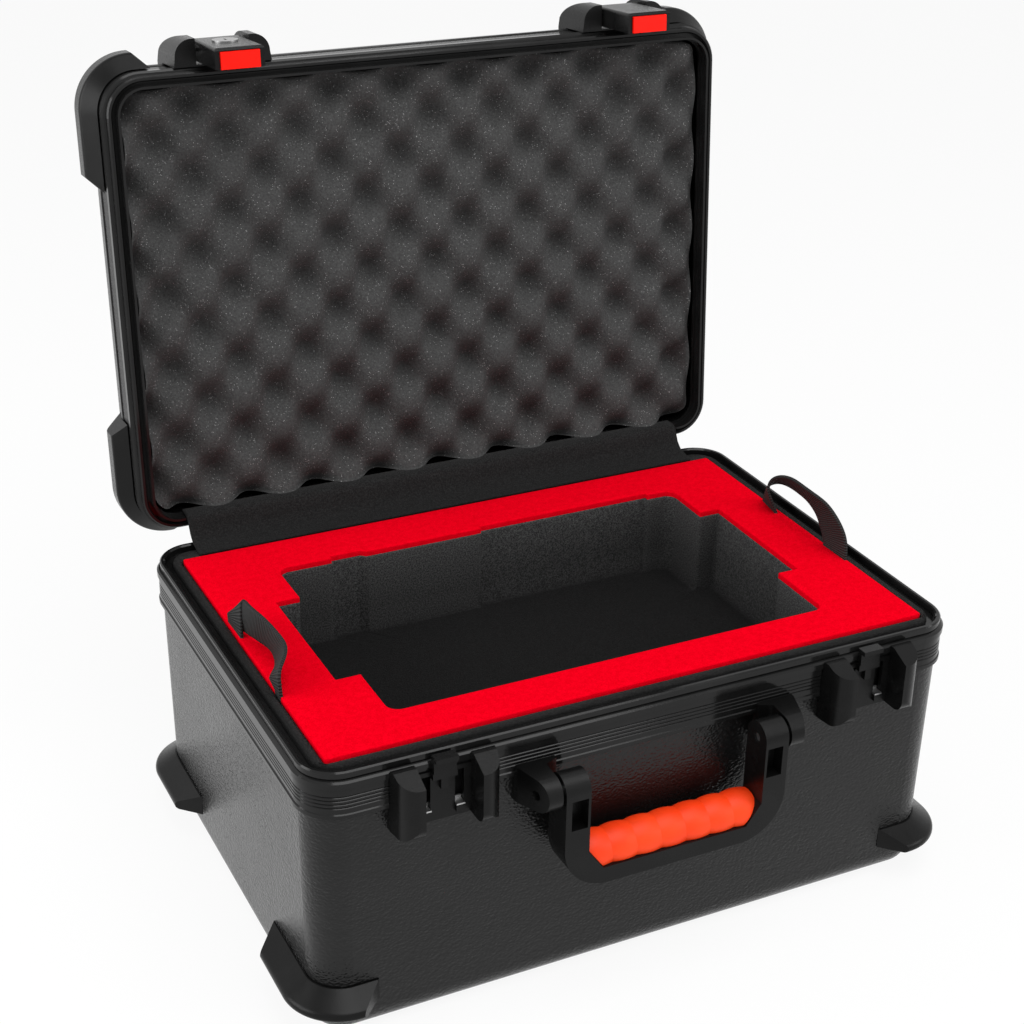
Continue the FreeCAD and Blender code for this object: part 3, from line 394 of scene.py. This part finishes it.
# %% Corners become an even outline
ARC_POINTS = 9


def outline(corners, step=3.0):
    """Points round a closed outline of (x, y, radius) corners: straight runs, and arcs tangent to both sides."""
    spots = np.array([corner[:2] for corner in corners], float)
    radii = np.array([corner[2] for corner in corners], float)
    before = np.roll(spots, 1, axis=0) - spots
    after = np.roll(spots, -1, axis=0) - spots
    before /= np.linalg.norm(before, axis=1, keepdims=True)
    after /= np.linalg.norm(after, axis=1, keepdims=True)
    starts = spots + before * radii[:, None]
    ends = spots + after * radii[:, None]
    bow = np.linspace(0, 1, ARC_POINTS)[:, None]
    runs = []
    for index, radius in enumerate(radii):
        ahead = starts[(index + 1) % len(radii)]
        if radius:
            centre = spots[index] + (before[index] + after[index]) * radius
            turn = bow * np.pi / 2
            runs.append(centre - after[index] * radius * np.cos(turn) - before[index] * radius * np.sin(turn))
        count = max(int(np.linalg.norm(ahead - ends[index]) / step), 1)
        share = np.linspace(0, 1, count, endpoint=False)[bool(radius):, None]
        runs.append(ends[index] + (ahead - ends[index]) * share)
    return np.concatenate(runs)


def grown(loop, distance):
    """The outline moved outwards: each point goes along the mean normal of its two neighbours."""
    along = np.roll(loop, -1, axis=0) - np.roll(loop, 1, axis=0)
    normal = np.stack([along[:, 1], -along[:, 0]], axis=-1)
    normal /= np.maximum(np.linalg.norm(normal, axis=1, keepdims=True), 1e-9)
    return loop + normal * distance


def at_height(loop, z):
    return np.column_stack([loop, np.full(len(loop), z)])


# %% [markdown]
# ## The red insert
# The lift-out insert is black foam with red felt glued on top. Its cut-out has finger notches on both sides and
# shallow steps at the back. Each row of the net is one outline: up the wall of the cut-out, over the
# edge, across the top to the outside and down again, so the felt and the foam are one clean surface each.

# %% Felt and foam of the insert
PARTING = 188.0
FELT = 4.0
INSERT_HALF_X, INSERT_HALF_Y, INSERT_MIDDLE = 202.5, 131.5, -3.0
INSERT_LOW, POCKET_FLOOR = 96.3, 126.0
POCKET = [
    (-150, -103, 8), (150, -103, 8), (150, -50, 0), (165, -50, 0), (165, 50, 0), (150, 50, 0), (150, 90, 8),
    (130, 90, 0), (130, 93, 0), (-2, 93, 0), (-2, 90, 0), (-87, 90, 0), (-90.5, 93, 0), (-112, 93, 0),
    (-112, 90, 0), (-150, 90, 8), (-150, 48, 0), (-166, 48, 0), (-166, -57, 0), (-150, -57, 0),
]
pocket = outline(POCKET, 2.5)
pocket_middle = np.array([0.0, -5.0])


def outside_of_insert(loop, margin):
    """Where a ray from the middle through each point of the cut-out leaves the insert, in order round it."""
    ray = loop - pocket_middle
    half_x = INSERT_HALF_X - margin
    high = INSERT_HALF_Y - margin + INSERT_MIDDLE - pocket_middle[1]
    low = INSERT_HALF_Y - margin - INSERT_MIDDLE + pocket_middle[1]
    half_y = np.where(ray[:, 1] > 0, high, low)
    far = np.maximum(np.abs(ray), 1e-9)
    reach = np.minimum(half_x / far[:, 0], half_y / far[:, 1])
    return pocket_middle + ray * reach[:, None]


def felt_sheet():
    """Rows from the cut-out's wall over its rounded edge, across, over the outer edge and down."""
    low = PARTING - FELT
    rows = [at_height(pocket, low), at_height(pocket, PARTING - 1.0), at_height(grown(pocket, 0.1), PARTING - 0.5)]
    rows += [at_height(grown(pocket, 0.35), PARTING - 0.12), at_height(grown(pocket, 0.9), PARTING)]
    inner = grown(pocket, 0.9)
    outer = outside_of_insert(pocket, 0.9)
    rows += [at_height(inner + (outer - inner) * share, PARTING) for share in (0.1, 0.35, 0.7)]
    rows += [at_height(outer, PARTING), at_height(outside_of_insert(pocket, 0.3), PARTING - 0.15)]
    edge = outside_of_insert(pocket, 0.0)
    rows += [at_height(edge, PARTING - 0.7), at_height(edge, low)]
    return np.stack(rows)


def foam_block():
    """Rows from the middle of the pocket floor out to its wall, up, across under the felt, down and back in."""
    low = PARTING - FELT
    edge = outside_of_insert(pocket, 0.0)
    spread = pocket - pocket_middle
    floor = [at_height(pocket_middle + spread * share, POCKET_FLOOR) for share in (0.0, 0.6, 0.97)]
    wall = [at_height(pocket, z) for z in (POCKET_FLOOR + 1.5, POCKET_FLOOR + 20, low - 12, low - 2, low)]
    skirt = [at_height(edge, z) for z in (low, low - 30, INSERT_LOW + 1.5)]
    under = [at_height(pocket_middle + (edge - pocket_middle) * share, INSERT_LOW) for share in (0.994, 0.5, 0.0)]
    return np.stack(floor + wall + skirt + under)


insert_felt = net_piece("insert_felt", felt_sheet(), columns_closed=True)
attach(insert_felt, "tray")
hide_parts("tray_top")
insert_foam = net_piece("insert_foam", foam_block(), columns_closed=True)
# Grey share per row: none on the pocket floor, rising up the pocket wall to full at its top edge, falling down the
# outside; real fuzz plus painted light on upper edges and painted shade low in the pocket.
fuzz_and_sheen_rows = np.array([0, 0, 0, 0.2, 0.5, 0.8, 1, 1, 1, 0.4, 0.2, 0.2, 0, 0])
mark(insert_foam, "cut_edge_sheen", np.repeat(fuzz_and_sheen_rows, len(pocket)))
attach(insert_foam, "tray")
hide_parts("tray_frame", "tray_floor")

# %% [markdown]
# ## Red felt
# Felt has no weave, only short matted fibres. At this distance that reads as a fine mottling, a few paler hairs
# and a soft, dull sheen at the edges, which the sheen sockets give.

# %% Felt finish
felt = Finish("red_felt")
fibre = felt.noise(1300, 5, 0.7)
mottle = felt.noise(260, 3)
hair = felt.between(felt.noise(2600, 2), 0.62, 0.75)
matted = felt.between(fibre * 0.7 + mottle * 0.3, 0.35, 0.65)
felt_colour = felt.mixed(matted, (0.64, 0.0, 0.006, 1), (0.84, 0.0004, 0.012, 1))
felt_finish = felt.surface(
    Base_Color=felt.mixed(hair * 0.3, felt_colour, (0.95, 0.01, 0.03, 1)),
    Roughness=0.95,
    Specular_IOR_Level=0.0,
    Sheen_Weight=0.05,
    Sheen_Tint=(1.0, 0.02, 0.05, 1),
    Normal=felt.bumped(fibre + mottle * 0.4, 0.0007, 0.5),
)
insert_felt.data.materials.append(felt_finish)

# %% [markdown]
# ## Black foam with fuzzy cut edges and painted sheen
# The liner and the insert's foam are black, and a knife leaves torn cell walls, so cut edges look grey and fuzzy;
# where those walls catch the light, the sheen is painted into the colour as grey. Each net keeps a number up to 1,
# highest at its upper cut edges and low deep in hollows, painted light above and painted shade below, and the
# finish mixes grey in there.

# %% Cut foam finish
cut = Finish("black_foam")
torn = cut.noise(900, 4, 0.75)
fuzz = cut.noise(2400, 3, 0.7)
fuzz_and_sheen_share = cut.node("ShaderNodeAttribute", {"attribute_name": "cut_edge_sheen"}, {}, "Fac")
show = cut.between(torn * 0.6 + fuzz * 0.4, 0.42, 0.62)
dark = cut.mixed(show, grey(0.003), grey(0.010))
# Painted sheen and shade: grey is mixed in by the cut-edge mark over the real fuzz, lighter at upper edges and dark
# deep in hollows.
foam_black = cut.surface(
    Base_Color=cut.mixed(fuzz_and_sheen_share * (show * 0.75 + 0.15), dark, grey(0.12)),
    Roughness=0.95,
    Specular_IOR_Level=0.15,
    Normal=cut.bumped(torn + fuzz * 0.5, 0.001, 0.7),
)
insert_foam.data.materials.append(foam_black)

# %% [markdown]
# ## Liner and floor pad
# The liner is a frame of foam that lines the walls. It has a ledge that carries the insert and a store below it
# for cables, with a soft pad on the floor. All its outlines are rounded rectangles, so a table of sizes and
# heights gives the rows of the net.

# %% Rounded rectangles stacked into a liner
def frame_loop(half_x, half_y, corner, middle=0.0, count=40):
    """A rounded rectangle with the same number of points in each side and corner, whatever its size."""
    quarter = np.linspace(0, np.pi / 2, ARC_POINTS)
    side = np.linspace(0, 1, count, endpoint=False)[1:]
    reach = np.array([half_x - corner, half_y - corner])
    signs = np.array([(1, -1), (1, 1), (-1, 1), (-1, -1)])
    turns = np.arange(4) * np.pi / 2 - np.pi / 2
    arcs = [sign * reach + corner * np.column_stack([np.cos(turn + quarter), np.sin(turn + quarter)])
            for sign, turn in zip(signs, turns)]
    runs = [np.vstack([arc, arc[-1] + (follow[0] - arc[-1]) * side[:, None]])
            for arc, follow in zip(arcs, arcs[1:] + arcs[:1])]
    return np.vstack(runs) + (0, middle)


LINER_ROWS = [
    # half x, half y, corner, middle, height, cut edge grey (real fuzz, with painted light on upper edges and
    # painted shade low down)
    (187.5, 116.5, 2.0, -3, 4.4, 0), (187.5, 116.5, 2.0, -3, 90.0, 0), (187.9, 116.9, 2.4, -3, 95.6, 0.6),
    (188.6, 117.6, 3.0, -3, 96.0, 0.6), (203.5, 132.5, 3.0, -3, 96.0, 0.3), (203.7, 132.7, 3.0, -3, 97.0, 0.3),
    (203.7, 132.7, 3.0, -3, 174.0, 0.15), (203.7, 132.7, 3.0, -3, 184.6, 0.3), (204.1, 133.1, 3.4, -3, 185.9, 0.3),
    (205.2, 134.2, 4.0, -3, 186.5, 0.25), (207.6, 140.2, 14.0, 0, 186.5, 0.1), (208.8, 141.8, 15.0, 0, 186.0, 0.1),
    (209.2, 142.2, 15.2, 0, 185.0, 0.1), (209.2, 142.2, 15.2, 0, 180.8, 0), (213.4, 146.4, 19.4, 0, 180.6, 0),
    (213.6, 146.6, 19.6, 0, 179.0, 0), (211.5, 144.5, 17.6, 0, 18.0, 0), (208.0, 141.0, 14.0, 0, 8.2, 0),
    (200.0, 133.0, 8.0, 0, 4.5, 0),
]
liner_points = np.stack([at_height(frame_loop(*row[:4]), row[4]) for row in LINER_ROWS])
base_liner = net_piece("base_liner_foam", liner_points, rows_closed=True, columns_closed=True)
mark(base_liner, "cut_edge_sheen", np.repeat([row[5] for row in LINER_ROWS], liner_points.shape[1]))
base_liner.data.materials.append(foam_black)
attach(base_liner, "base")
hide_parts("base_liner")

PAD_ROWS = [
    # share of the full size, height
    (0.0, 4.4), (0.99, 4.4), (1.0, 5.4), (1.0, 12.6), (0.997, 13.7), (0.99, 14.1), (0.6, 14.2), (0.0, 14.2),
]
pad_points = np.stack([at_height(frame_loop(187.2, 116.2, 4.0) * share + (0, -3), z) for share, z in PAD_ROWS])
floor_pad = net_piece("floor_pad_foam", pad_points, columns_closed=True)
# Grey share per row: lighter up the side towards the top edge, real fuzz plus painted light.
mark(floor_pad, "cut_edge_sheen", np.repeat([0, 0, 0.3, 0.6, 0.8, 0.5, 0.2, 0.2], pad_points.shape[1]))
floor_pad.data.materials.append(foam_black)
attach(floor_pad, "base")
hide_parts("floor_pad")

# %% [markdown]
# ## The felt strip over the hinge gap
# A strip of felt bridges the gap between the base liner and the lid foam. On the case it bends when the lid closes;
# here it is drawn in one fixed shape for the open lid, from the base at one end to the lid at the other. Its
# section is a smooth line through a few points, its long way is straight with a slight ripple, and a Solidify
# modifier gives it the felt's thickness.

# %% A bent strip
STRIP_LINE = np.array([
    (130.8, 187.5), (138.0, 188.2), (145.5, 189.6), (150.6, 194.0),
    (153.4, 199.5), (155.4, 203.6), (158.5, 204.7), (167.0, 204.5),
])
STRIP_HALF, STRIP_THICK = 190.0, 1.8
STRIP_ROWS, STRIP_COLUMNS = 160, 33


def strip():
    """A smooth section line through the listed points, carried along x with a ripple of half a millimetre."""
    length = np.concatenate([[0], np.cumsum(np.linalg.norm(np.diff(STRIP_LINE, axis=0), axis=1))])
    fine = np.linspace(0, length[-1], STRIP_COLUMNS)
    line = np.column_stack([np.interp(fine, length, STRIP_LINE[:, axis]) for axis in (0, 1)])
    smooth = line.copy()
    smooth[1:-1] = (line[:-2] + line[1:-1] * 2 + line[2:]) / 4
    x = np.linspace(-STRIP_HALF, STRIP_HALF, STRIP_ROWS)
    ripple = 0.35 * np.sin(x / 17.0) + 0.25 * np.sin(x / 41.0 + 1.0)
    bulge = np.sin(np.linspace(0, np.pi, STRIP_COLUMNS))
    y = smooth[None, :, 0] - ripple[:, None] * bulge[None, :]
    z = np.broadcast_to(smooth[None, :, 1], y.shape)
    return np.stack([np.broadcast_to(x[:, None], y.shape), y, z], axis=-1), length[-1]


strip_points, strip_length = strip()
hinge_strip = net_piece("hinge_felt_strip", strip_points)
# Grey share across the strip: 0.1 everywhere, rising to 0.4 at the lid edge; fray plus painted sheen.
fray_and_sheen = np.linspace(0, 1, STRIP_COLUMNS) ** 6 * 0.3 + 0.1
mark(hinge_strip, "cut_edge_sheen", np.tile(fray_and_sheen, STRIP_ROWS))
solid = hinge_strip.modifiers.new("Thickness", "SOLIDIFY")
solid.thickness = STRIP_THICK * MM
solid.offset = 0
hinge_strip.data.materials.append(foam_black)
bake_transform(hinge_strip)
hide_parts("hinge_cover")

# %% [markdown]
# ## Webbing loops
# Two loops of ribbed webbing lift the insert. A strap bends easily one way and hardly at all the other, so it
# twists as it arches over. The surest way to draw that is by its two edges: each edge is a smooth curve through
# a few points, and the net is ruled between them. Every point keeps its length and width for the ribs.

# %% Straps between two edges
STRAP_WIDTH, STRAP_THICK = 25.0, 1.9
STRETCH_POINTS, SOFTENING, STRAP_COLUMNS = 8, 12, 15
LEFT_LOW_EDGE = [
    (-201, 34, 160), (-201, 35, 186), (-201, 37, 194), (-200, 31, 191), (-198, 16, 191), (-195, 5, 191),
    (-192, -2, 190), (-190, -12, 190), (-191, -22, 189), (-195, -33, 190), (-200, -39, 189), (-201, -40, 184),
    (-201, -40, 160),
]
LEFT_HIGH_EDGE = [
    (-201, 10, 160), (-201, 11, 186), (-198, 19, 208), (-196, 17, 211), (-197, 7, 213), (-196, -5, 214),
    (-193, -15, 212), (-191, -27, 210), (-190, -39, 208), (-195, -51, 207), (-202, -60, 203), (-202, -63, 188),
    (-201, -64, 160),
]
RIGHT_LOW_EDGE = [
    (201, -29, 160), (201, -29, 186), (201, -26, 195), (202, -21, 199), (203, -16, 203), (204, -9, 206),
    (204, -1, 209), (204, 9, 210), (204, 21, 210), (204, 32, 208), (204, 41, 204), (203, 46, 200),
    (202, 47, 194), (201, 48, 186), (201, 48, 160),
]
RIGHT_HIGH_EDGE = [
    (201, -54, 160), (201, -54, 186), (202, -51, 201), (200, -46, 211), (199, -38, 217), (198, -29, 221),
    (196, -17, 223), (195, -6, 224), (195, 6, 224), (195, 18, 221), (194, 27, 216), (192, 30, 210),
    (192, 28, 202), (199, 26, 186), (200, 24, 160),
]


def smooth_edge(stations):
    """Cubic stretches from station to station, then averaged with their neighbours a few times to soften kinks."""
    stations = np.array(stations, float)
    longer = np.vstack([2 * stations[0] - stations[1], stations, 2 * stations[-1] - stations[-2]])
    a, b, c, d = longer[:-3, None], longer[1:-2, None], longer[2:-1, None], longer[3:, None]
    t = np.linspace(0, 1, STRETCH_POINTS, endpoint=False)[None, :, None]
    bend = (2 * a - 5 * b + 4 * c - d) * t ** 2 + (3 * b - a - 3 * c + d) * t ** 3
    curve = np.vstack([(b + (c - a) * t / 2 + bend / 2).reshape(-1, 3), stations[-1:]])
    for _ in range(SOFTENING):
        curve[1:-1] = (curve[:-2] + curve[1:-1] * 2 + curve[2:]) / 4
    return curve


def webbing_loop(name, node, low_edge, high_edge):
    """Rows along the strap, each a straight line from one edge to the other."""
    low, high = smooth_edge(low_edge), smooth_edge(high_edge)
    share = np.linspace(0, 1, STRAP_COLUMNS)
    points = low[:, None] + (high - low)[:, None] * share[None, :, None]
    steps = np.linalg.norm(np.diff((low + high) / 2, axis=0), axis=1)
    length = np.concatenate([[0], np.cumsum(steps)])
    loop = net_piece(name, points)
    mark(loop, "along", np.repeat(length, len(share)))
    mark(loop, "across", np.tile(share * STRAP_WIDTH, len(length)))
    body = loop.modifiers.new("Thickness", "SOLIDIFY")
    body.thickness = STRAP_THICK * MM
    body.offset = 0
    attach(loop, "tray")
    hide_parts(node)
    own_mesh(loop)
    print(name, round(length[-1]), "mm of webbing")
    return loop


loops = [
    webbing_loop("webbing_loop_left", "pull_loop_left", LEFT_LOW_EDGE, LEFT_HIGH_EDGE),
    webbing_loop("webbing_loop_right", "pull_loop_right", RIGHT_LOW_EDGE, RIGHT_HIGH_EDGE),
]

# %% [markdown]
# ## Ribs of the webbing
# Webbing is woven with thick cross threads, which show as ribs over its width. A sine of the length kept on each
# point gives the ribs, a weaker sine of the width gives the long yarns, and some noise stands for lint. The same
# sines also set the colour: a painted highlight on the raised threads and painted shade between them.

# %% Ribbed webbing finish
RIB_PITCH, YARN_PITCH = 1.5, 1.1
webbing = Finish("ribbed_webbing")
along = webbing.node("ShaderNodeAttribute", {"attribute_name": "along"}, {}, "Fac")
across = webbing.node("ShaderNodeAttribute", {"attribute_name": "across"}, {}, "Fac")
ribs = webbing.node("ShaderNodeMath", {"operation": "SINE"}, {0: along * (2 * math.pi / RIB_PITCH)})
yarns = webbing.node("ShaderNodeMath", {"operation": "SINE"}, {0: across * (2 * math.pi / YARN_PITCH)})
lint = webbing.noise(1800, 3)
weave_and_painted_shade = ribs * 0.5 + yarns * 0.15 + 0.5
webbing_finish = webbing.surface(
    # Painted highlight on the rib crests and painted shade in the grooves, from the weave sines; the lint noise is
    # real fluff.
    Base_Color=webbing.mixed(webbing.between(weave_and_painted_shade + lint * 0.3, 0.2, 1.1), grey(0.003), grey(0.024)),
    Roughness=0.75,
    Specular_IOR_Level=0.3,
    Normal=webbing.bumped(weave_and_painted_shade, 0.0005, 0.8),
)
for loop in loops:
    loop.data.materials.append(webbing_finish)

# %% [markdown]
# ## A white floor
# The photograph is a catalogue picture on white ground. The floor is pale and matt, so that it keeps a soft shadow,
# but for the eye and for reflections most of it is replaced by a plain white glow.

# %% A pale floor
FLOOR_HALF, FLOOR_LOW = 6000.0, -0.2
floor_x, floor_y = np.meshgrid([-FLOOR_HALF, FLOOR_HALF], [-FLOOR_HALF, FLOOR_HALF], indexing="ij")
floor = net_piece("floor", np.stack([floor_x, floor_y, np.full((2, 2), FLOOR_LOW)], axis=-1))
pale = Finish("pale_floor")
matt = pale.node("ShaderNodeBsdfDiffuse", {}, {"Color": grey(0.86)})
glow = pale.node("ShaderNodeEmission", {}, {"Color": grey(1.0), "Strength": 1.0})
ground = pale.node("ShaderNodeMixShader", {}, {0: pale.backdrop() * 0.9, 1: matt, 2: glow})
pale.node("ShaderNodeOutputMaterial", {}, {"Surface": ground})
floor.data.materials.append(pale.material)

# %% [markdown]
# ## Soft studio light
# A large soft light stands on the left, a larger one hangs above, and a weak one fills in from the right. The world
# is white where it is seen or mirrored, and half as strong where it lights the case.

# %% The white studio
studio = Finish("studio", "worlds")
sky = studio.node("ShaderNodeBackground", {}, {"Color": grey(1.0), "Strength": 0.5 + studio.backdrop() * 0.5})
studio.node("ShaderNodeOutputWorld", {}, {"Surface": sky})
bpy.context.scene.world = studio.material


def softbox(name, place, target, size, power):
    """A square lamp that looks from its place to its target."""
    lamp = bpy.data.lights.new(name, "AREA")
    lamp.size = size
    lamp.energy = power
    holder = bpy.data.objects.new(name, lamp)
    bpy.context.scene.collection.objects.link(holder)
    look = Vector(target) - Vector(place)
    holder.matrix_world = Matrix.Translation(place) @ look.to_track_quat("-Z", "Y").to_matrix().to_4x4()
    print("lamp", name, power, "watts")


softbox("left_softbox", (-1.7, 0.15, 0.75), (-0.2, 0.0, 0.15), 1.2, 20)
softbox("top_softbox", (0.1, -0.7, 1.9), (0.0, 0.0, 0.2), 1.4, 24)
softbox("right_softbox", (1.6, -1.2, 0.9), (0.1, 0.0, 0.2), 1.0, 10)

# %% [markdown]
# ## The camera
# The camera stands where the photographer's did: front left and above, turned to the right and tilted down. Its
# place, its angles and its focal length in pixels come from fitting the case's straight edges.

# %% The camera of the photograph
FOCAL_PIXELS, PICTURE_PIXELS, SENSOR = 1905.3, 1024, 36.0
EYE = Vector((-0.5060, -0.9723, 0.7746))
YAW, PITCH_DOWN, ROLL = math.radians(-26.414), math.radians(-26.018), math.radians(1.070)
ahead = math.cos(PITCH_DOWN)
forward = Vector((-math.sin(YAW) * ahead, math.cos(YAW) * ahead, math.sin(PITCH_DOWN)))
level = forward.cross(Vector((0, 0, 1))).normalized()
upward = level.cross(forward)
right = level * math.cos(ROLL) + upward * math.sin(ROLL)
top = upward * math.cos(ROLL) - level * math.sin(ROLL)
lens = bpy.data.cameras.new("camera")
lens.sensor_width = SENSOR
lens.lens = FOCAL_PIXELS / PICTURE_PIXELS * SENSOR
lens.clip_start = 0.05
camera = bpy.data.objects.new("camera", lens)
bpy.context.scene.collection.objects.link(camera)
turn = Matrix((right, top, -forward)).transposed().to_4x4()
camera.matrix_world = Matrix.Translation(EYE) @ turn
bpy.context.scene.camera = camera
bpy.context.scene.view_settings.view_transform = "Standard"
print("camera", round(lens.lens, 2), "mm lens")
